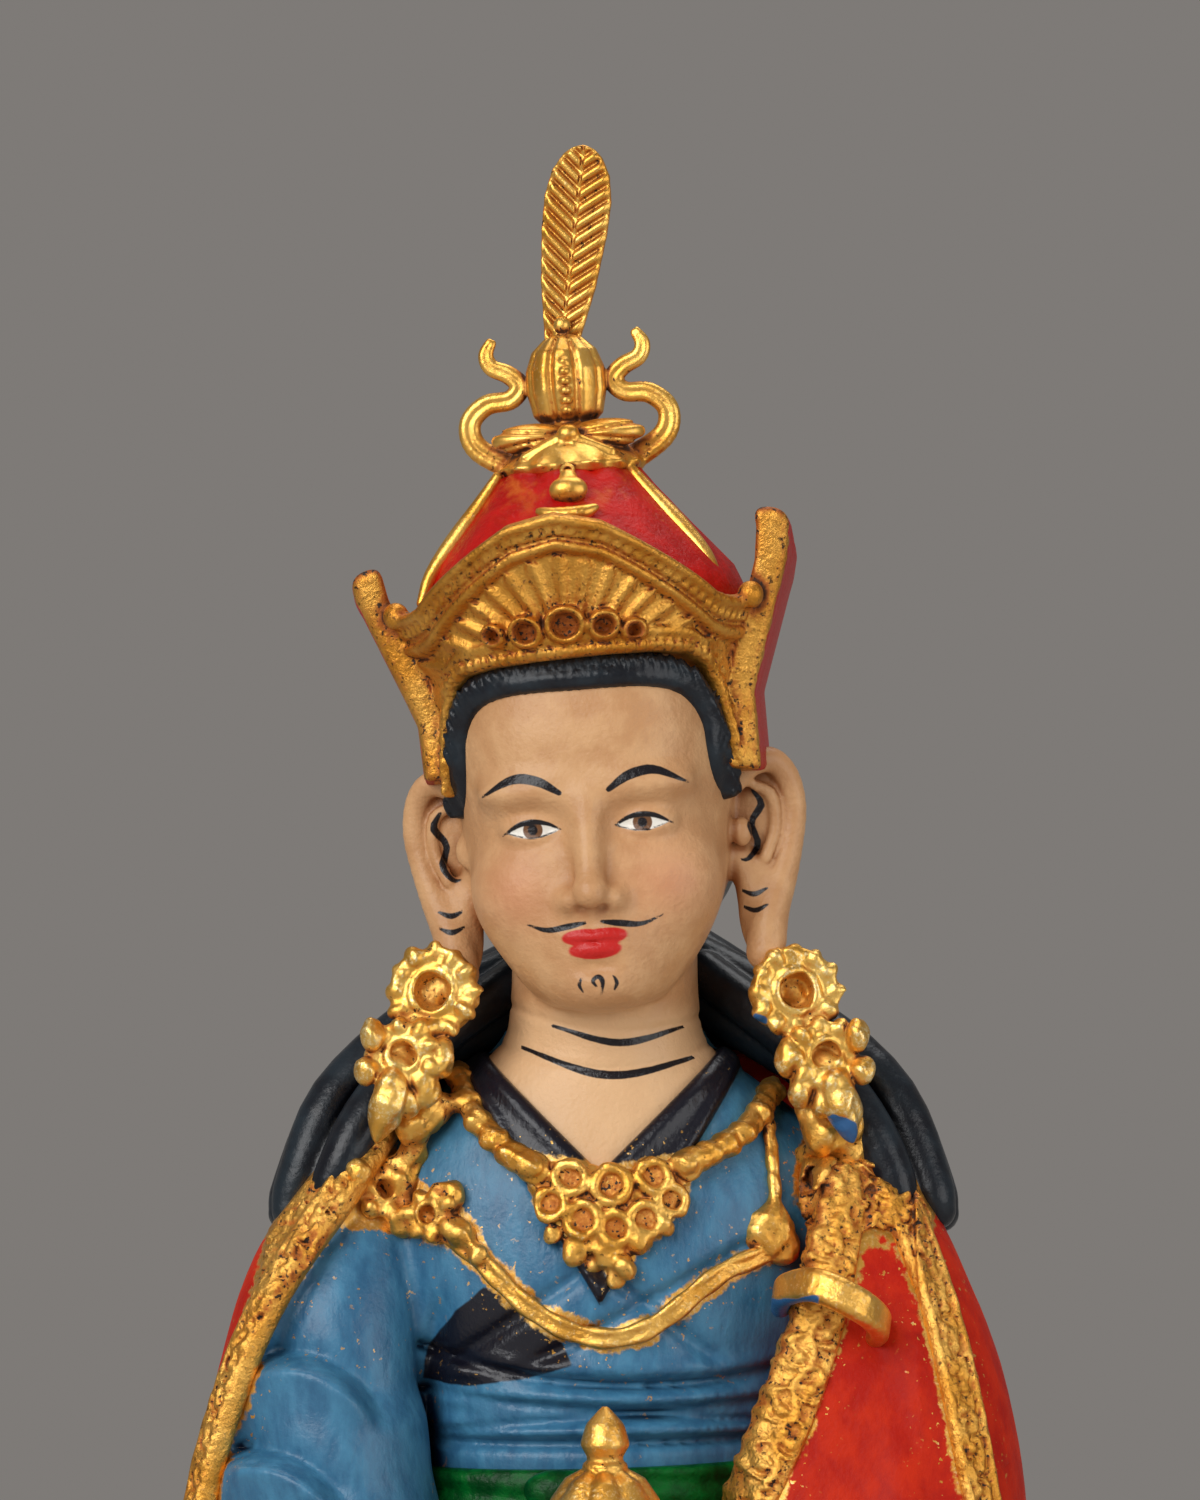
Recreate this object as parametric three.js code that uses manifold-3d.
// A painted and gilded cast statuette of a seated teacher in a lotus hat, on a double lotus base.
// Millimetres, +Z up, the figure faces -Y and its left hand is at +X.
// The origin is under the middle of the base. The figure is one casting.
// The strap for a staff at its left arm and the lotus base are pieces of their own.

import * as THREE from "three";
import { mergeVertices } from "three/addons/utils/BufferGeometryUtils.js";
import Module from "manifold-3d";

const wasm = await Module();
wasm.setup();

// Driving sizes

const BASE = {
  height: 20,
  depthRatio: 0.75, // depth over width of every level
  petals: 16,
  stepsPerPetal: 3,
  // height, half width, how far a petal stands out
  levels: [
    [0, 38.8, 0],
    [2.2, 38.8, 0],
    [2.8, 36.4, 1.6],
    [5.6, 35.4, 2.6],
    [10, 32.2, 0.8],
    [14.6, 34.6, 2.6],
    [18, 36.2, 0.5],
    [20, 36.6, 0],
  ],
};

// Height, centre y, half width and half depth of each level
const TORSO = [
  [20, 2, 18, 13],
  [32, 2, 15.6, 11.8],
  [44.2, 0.7, 13, 9.7],
  [44.6, 0.7, 13.7, 10.4],
  [48.2, 0.5, 13.6, 10.3],
  [48.6, 0.5, 13, 9.6],
  [58, 0, 14.8, 10.3],
  [64, 0, 15.6, 9.8],
  [68, 0, 14, 8.8],
  [71, -0.4, 10.6, 7.8],
  [74, -1.2, 7, 6.6],
  [77, -2, 6.2, 6.2],
  [84, -2.6, 6.1, 6.4],
];
const CLOAK = [
  [20, 7, 33.5, 20],
  [25, 7, 30.6, 18.2],
  [35, 6.2, 26.7, 15.2],
  [48, 4.6, 23.8, 12.6],
  [57, 4.2, 22.2, 11.9],
  [62, 4, 20.8, 11.6],
  [66, 3.6, 18.9, 10.8],
  [70, 3, 15.6, 9.6],
  [73, 2.2, 11.4, 8.4],
  [75.5, 1.5, 7.6, 6.6],
];
const CLOAK_FOLDS = { count: 9, depth: 0.055, fadeAt: 68 };
const CLOAK_OPENING = { halfAngle: 50, ease: 22, inset: 0.3 };

const HEAD = { centre: [-0.3, -3, 87.5], roll: -4.3, yaw: -4.5 };
// The bare head in its own frame: height, centre y, half width and half depth of each level
const SKULL = [
  [-10.9, -5.2, 2.2, 2],
  [-10.4, -5.4, 3.5, 3.6],
  [-9, -4.9, 5, 5],
  [-6.8, -3.4, 6.5, 6.7],
  [-4.2, -1.9, 7.6, 8.1],
  [-1.2, -0.8, 8.2, 9.1],
  [2.4, -0.1, 8.5, 9.9],
  [6.4, 0.1, 8.4, 10.1],
  [9.6, 0.2, 7.9, 9.6],
  [12, 0.4, 6.6, 8.2],
];
const EYE_LINE = 0.4;
const NOSE_BASE = -4.3;
const MOUTH_LINE = -6.6;
const HAIRLINE = { z: 9.5, halfWidth: 8.7, front: 9.9, thickness: 0.9 };

// The hat, in the head's own frame
const BRIM = { roll: -1.8, halfWidth: 10.3, halfDepth: 10.9, wall: 2, flare: 0.36, flareFrom: 9, rim: 0.7 };
// Angle from the front, bottom and top edge: the front gable, a fold, the side flap and the back
const BRIM_EDGES = [
  [0, 10.3, 19.5],
  [12, 10.2, 18.9],
  [25, 9.9, 17.7],
  [38, 9.3, 16.3],
  [48, 7.6, 15.1],
  [55, 4.4, 14.7],
  [61, 3, 17.6],
  [68, 2.8, 19],
  [84, 3.2, 17.8],
  [104, 3.6, 15.4],
  [128, 3.8, 14.2],
  [154, 4, 15],
  [180, 4, 16],
];
// Radius and height of the cloth dome
const DOME = [
  [0, 6],
  [9.6, 6],
  [10, 13],
  [9.5, 16.4],
  [8.1, 19.2],
  [6.2, 21.2],
  [4.2, 22.3],
  [0, 22.6],
];
// Radius and height of the bud over the dome
const BUD = [
  [0, 22],
  [4.4, 22.6],
  [3.3, 24.4],
  [1.9, 25.4],
  [2.4, 27.6],
  [2.3, 29.2],
  [1.2, 30.6],
  [0.5, 31.2],
  [0.6, 32],
  [0, 32.4],
];
// One scarf end beside the bud, across and up
const SCARF = [
  [3.6, 22.9],
  [6, 25.1],
  [5.5, 26.8],
  [3.8, 27.3],
  [2.7, 28],
  [3.8, 28.8],
  [4.6, 29.6],
  [4.3, 30.8],
];
const FEATHER = {
  foot: [-0.4, 1.2, 29.4],
  tip: [2.2, 0.2, 42.6],
  halfWidth: 2.05,
  thickness: 1.1,
  barbs: 6,
};

// Ear and earring of one side, with x outwards
const EAR = { centre: [9.7, 0.6, -1.2], halfHeight: 6.3, halfDepth: 2.6, halfWidth: 1.7 };
const EARRING_SHIFT = 0.5;
const EARRING = [
  { at: [11.4, -6.6, 77.2], radius: 3.1, thickness: 4 },
  { at: [13.1, -7.6, 73], radius: 2.3, thickness: 4 },
];
const EARRING_DROP = { at: [14.1, -8, 69.9], halfWidth: 1.6, halfHeight: 2.6 };

// Places on the front of the figure, x and z
const NECKLACE = [
  [-9, 73.6],
  [-7.9, 70.6],
  [-5.6, 67.6],
  [0.4, 65.6],
  [6.4, 67.4],
  [9.6, 70.6],
  [10.4, 73.2],
];
const PENDANT = [
  [-6.4, 67.4],
  [0.4, 66],
  [7.2, 67.6],
  [0.4, 60.6],
];
const CHAIN = [
  [-14.4, 65.3],
  [-10.3, 63.2],
  [-6.6, 61.4],
  [-3.6, 57.8],
  [0.9, 55.9],
  [4.9, 57.6],
  [7.4, 60.6],
  [10.2, 62.4],
  [10.3, 68.4],
];
const CHAIN_KNOBS = [
  [-13.6, 64.9, 1.9],
  [-10.3, 63.2, 2.1],
  [10, 63.2, 1.9],
];
const RIGHT_HEM = [
  [-11, 69.6],
  [-16.6, 65],
  [-19.6, 61],
  [-21.8, 54],
  [-23.2, 45],
  [-25.6, 33],
];
const LEFT_HEM = [
  [15.4, 69.6],
  [18.4, 64.4],
  [20.4, 58.6],
  [21.8, 51.8],
  [23.2, 44],
  [25.6, 33],
];
const ROBE_EDGE = [
  [14.6, 69.4],
  [14.2, 64.4],
  [12.8, 58.6],
  [10.4, 51.8],
  [7.8, 45.6],
];
const COLLAR = [
  [-9.4, 73.8],
  [-7.4, 69.6],
  [-4, 63.8],
  [-0.6, 58.6],
];

// Limbs: points with the radius at each
const RIGHT_SLEEVE = [
  [-13.6, -1, 66.5, 4],
  [-15.4, -3.6, 60.5, 4.9],
  [-16.6, -5, 57, 4.9],
  [-17, -5.4, 55.6, 6.1],
  [-17.7, -6, 52, 6.1],
  [-17.9, -6.4, 50.6, 7],
  [-18.2, -6.8, 46.8, 6.9],
  [-18.3, -7, 45.4, 7.9],
  [-18.4, -7.4, 39, 8.2],
  [-19.6, -12, 35, 7.4],
  [-21.6, -17.4, 33.4, 5.6],
];
const LEFT_SLEEVE = [
  [14.4, -1, 66.5, 4],
  [16.6, -4.4, 60, 5.2],
  [18, -6.2, 52, 6.8],
  [18, -7.4, 44, 7.8],
  [16.4, -10.6, 38.6, 7.4],
  [11, -15, 35.6, 5.6],
  [5, -18.4, 34, 3.4],
];
const THIGH = [
  [8, 5, 29, 9],
  [18, 0, 28.6, 8.6],
  [28, -7, 27.2, 7.2],
  [32.6, -9.4, 26.4, 3.4],
];
const SHIN = [
  [30, -9, 26.6, 6],
  [20, -17, 26, 6.2],
  [4, -21, 25.4, 5],
];
const BOOT = [
  [-8, -19.6, 24.8, 4.4],
  [0, -22, 24.2, 4],
  [7, -23.4, 23.4, 3.4],
  [10.6, -23.2, 23, 1.6],
];
// A lock of hair over one shoulder, with the radius at each point
const LOCKS = [
  [
    [5.4, 3, 79.6, 2.4],
    [12, -0.4, 75, 2.6],
    [16.6, -3.6, 69.8, 2.4],
    [18.4, -4.6, 63.6, 1.5],
  ],
  [
    [5, 5, 79.6, 2.6],
    [13.4, 2.6, 75, 2.8],
    [18.6, 0.2, 69.6, 2.8],
    [20.4, -0.8, 62.4, 1.7],
  ],
  [
    [4, 7, 79, 3],
    [10.6, 7, 75, 3.2],
    [16.8, 5.4, 69.6, 3],
    [19.4, 5, 61.6, 1.8],
  ],
];

// Skull cup and vase in the left hand: radius and height
const CUP = { x: 0, y: -19 };
const CUP_PROFILE = [
  [0, 34.4],
  [2.4, 34.6],
  [4.4, 36.6],
  [4.9, 39],
  [4.2, 39.6],
  [0, 39.6],
];
const VASE = [
  [0, 39],
  [2.2, 39.4],
  [3.5, 41.4],
  [2.6, 43.2],
  [1.5, 43.9],
  [3.1, 44.8],
  [3.2, 45.9],
  [2.2, 47.2],
  [1.2, 47.9],
  [1.45, 49.3],
  [0.8, 50.8],
  [0, 51.7],
];
const HANDS = {
  left: { palm: [3.6, -19.4, 33], radii: [4.4, 3.4, 1.9] },
  right: { palm: [-22.6, -21, 32.8], radii: [2.6, 3.2, 2.4] },
  fingers: 4,
  fingerRadius: 0.95,
};
const THUNDERBOLT = { centre: [-22.6, -23, 33.6], halfLength: 7, radius: 2.2, grip: 0.9 };

// The strap for a staff, bent from a strip, its ends in the hem
const STRAP = { width: 2.4, thickness: 1.5, clearance: 0.3, socket: 1.2 };
const STRAP_PATH = [
  [10.8, -9.6, 57.6],
  [11, -12.6, 58.6],
  [13, -15.6, 59.2],
  [16, -16, 58],
  [17.4, -13.4, 56.6],
  [17, -10.4, 55.8],
];

// Shapes

const rad = THREE.MathUtils.degToRad;
const vec = (p) => new THREE.Vector3(p[0], p[1], p[2]);

const headFrame = new THREE.Matrix4()
  .makeTranslation(...HEAD.centre)
  .multiply(new THREE.Matrix4().makeRotationZ(rad(HEAD.yaw)))
  .multiply(new THREE.Matrix4().makeRotationY(rad(HEAD.roll)));

const brimFrame = headFrame.clone().multiply(
  new THREE.Matrix4()
    .makeTranslation(0, 0, 10)
    .multiply(new THREE.Matrix4().makeRotationY(rad(BRIM.roll)))
    .multiply(new THREE.Matrix4().makeTranslation(0, 0, -10)),
);

// A closed mesh as a solid that can be joined and cut.
function solid(geometry, frame) {
  const bare = (geometry.index ? geometry.toNonIndexed() : geometry.clone()).deleteAttribute("normal");
  bare.deleteAttribute("uv");
  if (frame) bare.applyMatrix4(frame);
  const merged = mergeVertices(bare, 1e-4);
  const triVerts = new Uint32Array(merged.index.array);
  const made = new wasm.Manifold(
    new wasm.Mesh({ numProp: 3, vertProperties: merged.attributes.position.array, triVerts }),
  );
  if (made.volume() > 0) return made;
  for (let i = 0; i < triVerts.length; i += 3) {
    [triVerts[i + 1], triVerts[i + 2]] = [triVerts[i + 2], triVerts[i + 1]];
  }
  return new wasm.Manifold(
    new wasm.Mesh({ numProp: 3, vertProperties: merged.attributes.position.array, triVerts }),
  );
}

const joined = (solids) => solids.reduce((whole, next) => whole.add(next));

// A mesh from a joined solid, ready for the scene or for casting rays on.
function meshOf(made, name, material) {
  const data = made.getMesh();
  const geometry = new THREE.BufferGeometry();
  geometry.setAttribute("position", new THREE.Float32BufferAttribute(data.vertProperties, 3));
  geometry.setIndex(new THREE.Uint32BufferAttribute(data.triVerts, 1));
  geometry.computeVertexNormals();
  const mesh = new THREE.Mesh(geometry, material);
  mesh.name = name;
  return mesh;
}

// A skin over rings of the same number of points, closed at both ends, or joined round when looped.
function skin(rings, looped = false) {
  const sides = rings[0].length;
  const points = rings.flat();
  const index = [];
  const last = looped ? rings.length : rings.length - 1;
  for (let i = 0; i < last; i++) {
    for (let j = 0; j < sides; j++) {
      const next = (j + 1) % sides;
      const above = ((i + 1) % rings.length) * sides;
      const a = i * sides + j;
      const b = i * sides + next;
      index.push(a, b, above + next, a, above + next, above + j);
    }
  }
  if (!looped) {
    [0, rings.length - 1].forEach((level) => {
      const centre = new THREE.Vector3();
      rings[level].forEach((p) => centre.addScaledVector(p, 1 / sides));
      points.push(centre);
      for (let j = 0; j < sides; j++) {
        const a = level * sides + j;
        const b = level * sides + ((j + 1) % sides);
        if (level === 0) index.push(points.length - 1, b, a);
        else index.push(points.length - 1, a, b);
      }
    });
  }
  const geometry = new THREE.BufferGeometry().setFromPoints(points);
  geometry.setIndex(index);
  return geometry;
}

// A body of oval levels. The shape function may change the radius with the angle and the height.
function loft(levels, sides, shape = () => 1) {
  return skin(
    levels.map(([z, y, halfWidth, halfDepth]) =>
      Array.from({ length: sides }, (_, j) => {
        const angle = (j / sides) * 2 * Math.PI;
        const grown = shape(angle, z);
        return new THREE.Vector3(
          halfWidth * grown * Math.sin(angle),
          y - halfDepth * grown * Math.cos(angle),
          z,
        );
      }),
    ),
  );
}

// A round limb along a smooth curve through its points, x y z and radius.
function limb(points, steps, sides) {
  const curve = new THREE.CatmullRomCurve3(points.map(vec), false, "centripetal");
  const frames = curve.computeFrenetFrames(steps, false);
  const radii = points.map((p) => p[3]);
  return skin(
    Array.from({ length: steps + 1 }, (_, i) => {
      const along = (i / steps) * (points.length - 1);
      const low = Math.min(Math.floor(along), points.length - 2);
      const radius = THREE.MathUtils.lerp(radii[low], radii[low + 1], along - low);
      const centre = curve.getPoint(i / steps);
      return Array.from({ length: sides }, (_, j) => {
        const turn = (j / sides) * 2 * Math.PI;
        return centre
          .clone()
          .addScaledVector(frames.normals[i], radius * Math.cos(turn))
          .addScaledVector(frames.binormals[i], radius * Math.sin(turn));
      });
    }),
  );
}

// A flat band through points, each lying with its face towards the given outward direction.
function band(points, outward, width, thickness) {
  return skin(
    points.map((p, i) => {
      const before = points[Math.max(i - 1, 0)];
      const after = points[Math.min(i + 1, points.length - 1)];
      const along = after.clone().sub(before).normalize();
      const across = outward(p).cross(along).normalize();
      const up = along.clone().cross(across).normalize();
      return [
        [-1, -1],
        [1, -1],
        [0.7, 1],
        [-0.7, 1],
      ].map(([a, u]) =>
        p
          .clone()
          .addScaledVector(across, (a * width) / 2)
          .addScaledVector(up, (u * thickness) / 2),
      );
    }),
  );
}

const ball = (centre, radii, across, up) =>
  new THREE.SphereGeometry(1, across, up).scale(...radii).translate(...centre);

// A turned shape about a vertical axis through x and y.
const turned = (profile, sides, x = 0, y = 0) =>
  new THREE.LatheGeometry(
    profile.map(([r, z]) => new THREE.Vector2(r, z)),
    sides,
  )
    .rotateX(Math.PI / 2)
    .translate(x, y, 0);

const mirrored = (points, side) => points.map(([x, ...rest]) => [side * x, ...rest]);

// The figure's body: cloak, torso, arms and legs

function cloak() {
  return solid(
    loft(CLOAK, 27, (angle, z) => {
      const strength = CLOAK_FOLDS.depth * Math.max(0, 1 - z / CLOAK_FOLDS.fadeAt);
      const behind = (1 - Math.cos(angle)) / 2;
      const fromFront = THREE.MathUtils.radToDeg(Math.acos(Math.cos(angle)));
      const { halfAngle, ease, inset } = CLOAK_OPENING;
      const opened = inset * (1 - THREE.MathUtils.smoothstep(fromFront, halfAngle, halfAngle + ease));
      return 1 + strength * behind * Math.cos(CLOAK_FOLDS.count * angle) - opened;
    }),
  );
}

function legs() {
  const made = [1, -1].flatMap((side) => [
    solid(limb(mirrored(THIGH, side), 3, 8)),
    solid(limb(mirrored(SHIN, side), 3, 7)),
  ]);
  return [...made, solid(limb(BOOT, 3, 6)), solid(limb(mirrored(BOOT, -1), 3, 6))];
}

function hand({ palm, radii }, side) {
  const fingers = Array.from({ length: HANDS.fingers }, (_, i) => {
    const spread = (i - (HANDS.fingers - 1) / 2) * 1.7;
    const knuckle = [palm[0] - side * radii[0] * 0.4, palm[1] + spread * 0.8, palm[2], HANDS.fingerRadius];
    const reach = side * (radii[0] + 2.4);
    const tip = [palm[0] - reach, palm[1] + spread, palm[2] + 0.3, HANDS.fingerRadius * 0.7];
    return solid(limb([knuckle, tip], 1, 4));
  });
  return [solid(ball(palm, radii, 7, 5)), ...fingers];
}

function thunderbolt() {
  const { centre, halfLength, radius, grip } = THUNDERBOLT;
  const half = [
    [grip, 0],
    [grip, 1.2],
    [radius * 0.7, 2.2],
    [radius, halfLength * 0.6],
    [radius * 0.6, halfLength * 0.85],
    [0, halfLength],
  ];
  const profile = [...half.slice(1).map(([r, z]) => [r, -z]).reverse(), ...half];
  const across = new THREE.Matrix4().makeTranslation(...centre).multiply(
    new THREE.Matrix4().makeRotationY(rad(78)),
  );
  return solid(turned(profile, 6), across);
}

function lap() {
  const cup = solid(turned(CUP_PROFILE, 8, CUP.x, CUP.y));
  const vase = solid(turned(VASE, 8, CUP.x, CUP.y));
  return [cup, vase, ...hand(HANDS.left, 1), ...hand(HANDS.right, -1), thunderbolt()];
}

// The head with its ears and hair

function face() {
  const parts = [
    loft(SKULL, 12),
    ball([0, -9.4, NOSE_BASE + 2], [1.1, 1.8, 3.2], 6, 5),
    ball([0, -10.1, NOSE_BASE + 0.5], [1.7, 1.5, 1], 6, 4),
    ball([0, -8.9, MOUTH_LINE], [2.4, 1.5, 0.9], 6, 4),
  ];
  [1, -1].forEach((side) => {
    parts.push(ball([side * 3.4, -8.3, EYE_LINE], [2, 1.4, 1.1], 6, 4));
  });
  return parts.map((part) => solid(part, headFrame));
}

function ears() {
  const { centre, halfHeight, halfDepth, halfWidth } = EAR;
  return [1, -1].flatMap((side) => {
    const [x, y, z] = centre;
    const shell = ball([side * x, y, z + 1.4], [halfWidth, halfDepth, halfHeight - 1.6], 6, 6);
    const lobe = limb(
      mirrored(
        [
          [x, y, z - 1, 1.6],
          [x - 0.5, y - 1.4, z - halfHeight, 1.4],
          [x + 0.6, y - 3, z - halfHeight - 2, 1.2],
        ],
        side,
      ),
      2,
      5,
    );
    return [solid(shell, headFrame), solid(lobe, headFrame)];
  });
}

function hair() {
  const { z, halfWidth, front, thickness } = HAIRLINE;
  const roll = Array.from({ length: 9 }, (_, i) => {
    const angle = rad((i - 4) * 27);
    const drop = 7.4 * Math.max(0, (Math.abs(i - 4) - 2) / 2) ** 2;
    return [halfWidth * Math.sin(angle), -front * Math.cos(angle), z - drop, thickness];
  });
  const nape = limb(
    [
      [-0.4, 3.4, 92, 6.4],
      [-0.2, 4.2, 84, 5.2],
      [0, 5.4, 77, 5.8],
      [0, 7.4, 72, 6.4],
    ],
    3,
    8,
  );
  const locks = [1, -1].flatMap((side) => LOCKS.map((lock) => solid(limb(mirrored(lock, side), 3, 5))));
  const back = ball([0, 2, 1], [9.1, 8.8, 9.6], 9, 6);
  return [solid(limb(roll, 8, 5), headFrame), solid(back, headFrame), solid(nape), ...locks];
}

// The hat

function brim() {
  const otherSide = mirrored(BRIM_EDGES.slice(1, -1).reverse(), -1);
  const round = [...BRIM_EDGES, ...otherSide];
  const rings = round.map(([degrees, low, high]) => {
    const angle = rad(degrees);
    const at = (z, inset) => {
      const grown = BRIM.flare * Math.max(0, z - BRIM.flareFrom) - inset;
      return new THREE.Vector3(
        (BRIM.halfWidth + grown) * Math.sin(angle),
        -(BRIM.halfDepth + grown) * Math.cos(angle),
        z,
      );
    };
    const rim = Math.abs(degrees) < 50 ? BRIM.rim : 0.1;
    return [
      at(low, BRIM.wall),
      at(low, 0),
      at(high - 2, 0),
      at(high - 1.1, -rim),
      at(high, 0),
      at(high - 0.4, BRIM.wall),
    ];
  });
  return solid(skin(rings, true), brimFrame);
}

function finial() {
  const bud = turned(BUD, 8);
  const bow = [1, -1].flatMap((side) => [
    ball([side * 2.6, -2, 24.5], [2.4, 1, 1.1], 7, 5),
  ]);
  const scarves = [1, -1].map((side) => limb(SCARF.map(([x, z]) => [side * x, 0, z, 0.62]), 8, 4));
  return [bud, ...bow, ...scarves].map((part) => solid(part, headFrame));
}

// A leaf with raised barbs either side of a middle rib.
function feather() {
  const { foot, tip, halfWidth, thickness, barbs } = FEATHER;
  const steps = barbs * 2;
  const rings = Array.from({ length: steps + 1 }, (_, i) => {
    const along = i / steps;
    const centre = vec(foot).lerp(vec(tip), along);
    const wide = halfWidth * Math.sqrt(Math.sin(Math.PI * Math.min(0.985, 0.12 + 0.87 * along)));
    const raised = (thickness / 2) * (i % 2 ? 1.25 : 0.8);
    const swept = wide * 0.55;
    return [
      [-wide, 0, swept],
      [0, -raised, 0],
      [wide, 0, swept],
      [0, raised, 0],
    ].map(([x, y, z]) => new THREE.Vector3(centre.x + x, centre.y + y, centre.z + z * (1 - along * 0.8)));
  });
  return solid(skin(rings), headFrame);
}

function sunAndMoon() {
  return solid(ball([0, -6.6, 20.6], [1.4, 1.2, 1.3], 6, 4), headFrame);
}

function hat() {
  return [solid(turned(DOME, 12), headFrame), brim(), ...finial(), feather(), sunAndMoon()];
}

// Ornaments that lie on the body, placed by casting a ray on it from the front

function ornaments(body) {
  const target = meshOf(body, "body", new THREE.MeshBasicMaterial({ side: THREE.DoubleSide }));
  const caster = new THREE.Raycaster();
  const onFront = (x, z) => {
    caster.set(new THREE.Vector3(x, -60, z), new THREE.Vector3(0, 1, 0));
    const [hit] = caster.intersectObject(target);
    return hit.point;
  };
  const draped = (places, steps) => {
    const flat = new THREE.CatmullRomCurve3(places.map(([x, z]) => new THREE.Vector3(x, 0, z)));
    return flat.getPoints(steps).map((p) => onFront(p.x, p.z));
  };
  const outward = (p) => new THREE.Vector3(p.x, p.y - 6, 0).normalize();
  const strip = (places, steps, width, thickness) =>
    solid(band(draped(places, steps), outward, width, thickness));
  const beads = solid(limb(draped(NECKLACE, 9).map((p) => [p.x, p.y, p.z, 1.05]), 9, 4));
  const outline = new THREE.Shape(PENDANT.map(([x, z]) => new THREE.Vector2(x, z)));
  const plate = new THREE.ExtrudeGeometry(outline, { depth: 4, bevelEnabled: false })
    .rotateX(Math.PI / 2)
    .translate(0, -11.2 + 4, 0);
  const cord = solid(limb(draped(CHAIN, 11).map((p) => [p.x, p.y, p.z, 0.75]), 11, 3));
  const knobs = CHAIN_KNOBS.map(([x, z, r]) => solid(ball(onFront(x, z).toArray(), [r, 1.3, r], 6, 4)));
  return [
    beads,
    solid(plate),
    cord,
    ...knobs,
    strip(RIGHT_HEM, 7, 2.8, 1.5),
    strip(LEFT_HEM, 7, 2.6, 1.5),
    strip(ROBE_EDGE, 6, 4.2, 1.6),
    strip(COLLAR, 3, 2.6, 1.2),
    strip(mirrored(COLLAR, -1), 3, 2.6, 1.2),
  ];
}

function earrings() {
  return [1, -1].flatMap((side) => {
    const at = ([x, y, z]) => [side * x + EARRING_SHIFT, y, z];
    const discs = EARRING.map(({ at: place, radius, thickness }) => {
      const [x, y, z] = at(place);
      const cone = new THREE.CylinderGeometry(radius * 0.8, radius, thickness, 8).rotateX(Math.PI);
      return cone.translate(x, y + thickness / 2 - 0.85, z);
    });
    const { halfWidth, halfHeight } = EARRING_DROP;
    const drop = ball(at(EARRING_DROP.at), [halfWidth, 1.4, halfHeight], 6, 5);
    return [...discs, drop].map((part) => solid(part));
  });
}

// The strap and the slots for its ends

function strap(grown) {
  const curve = new THREE.CatmullRomCurve3(STRAP_PATH.map(vec));
  const steps = 14;
  const centre = curve.getPoint(0.5).add(curve.getPoint(0)).multiplyScalar(0.5);
  const upright = new THREE.Vector3(0.15, 0.35, 1).normalize();
  const rings = curve.getPoints(steps).map((p, i) => {
    const along = curve.getTangent(i / steps);
    const outward = along.clone().cross(upright).normalize();
    if (outward.dot(p.clone().sub(centre)) < 0) outward.negate();
    const up = outward.clone().cross(along).normalize();
    const halfThick = STRAP.thickness / 2 + grown;
    const halfWide = STRAP.width / 2 + grown;
    return [
      [-1, -1],
      [1, -0.6],
      [1, 0.6],
      [-1, 1],
    ].map(([o, u]) => p.clone().addScaledVector(outward, o * halfThick).addScaledVector(up, u * halfWide));
  });
  return solid(skin(rings));
}

// The lotus base

function lotusBase() {
  const sides = BASE.petals * BASE.stepsPerPetal;
  const rings = BASE.levels.map(([z, halfWidth, out]) =>
    Array.from({ length: sides }, (_, j) => {
      const angle = (j / sides) * 2 * Math.PI;
      const petal = Math.abs(Math.cos((BASE.petals * angle) / 2));
      const radius = halfWidth + out * (petal - 0.35);
      return new THREE.Vector3(radius * Math.sin(angle), -radius * BASE.depthRatio * Math.cos(angle), z);
    }),
  );
  return solid(skin(rings));
}

// Joining the casting

const floor = solid(new THREE.BoxGeometry(120, 120, 40).translate(0, 0, BASE.height - 20));
const body = joined([
  cloak(),
  solid(loft(TORSO, 15)),
  solid(limb(RIGHT_SLEEVE, 13, 9)),
  solid(limb(LEFT_SLEEVE, 7, 9)),
  ...legs(),
]);
const casting = joined([
  body,
  ...lap(),
  ...face(),
  ...ears(),
  ...hair(),
  ...hat(),
  ...ornaments(body),
  ...earrings(),
])
  .subtract(floor)
  .subtract(strap(STRAP.clearance));

const paint = (colour, roughness, metalness) =>
  new THREE.MeshStandardMaterial({ color: colour, roughness, metalness });

const largest = (made) => made.decompose().reduce((a, b) => (a.volume() > b.volume() ? a : b));

const statue = new THREE.Group();
statue.add(
  meshOf(largest(casting), "figure", paint(0x3f6f9c, 0.5, 0.1)),
  meshOf(strap(0), "staff_strap", paint(0xd9a441, 0.3, 1)),
  meshOf(lotusBase(), "lotus_base", paint(0xcf9a3c, 0.35, 1)),
);

export default statue;
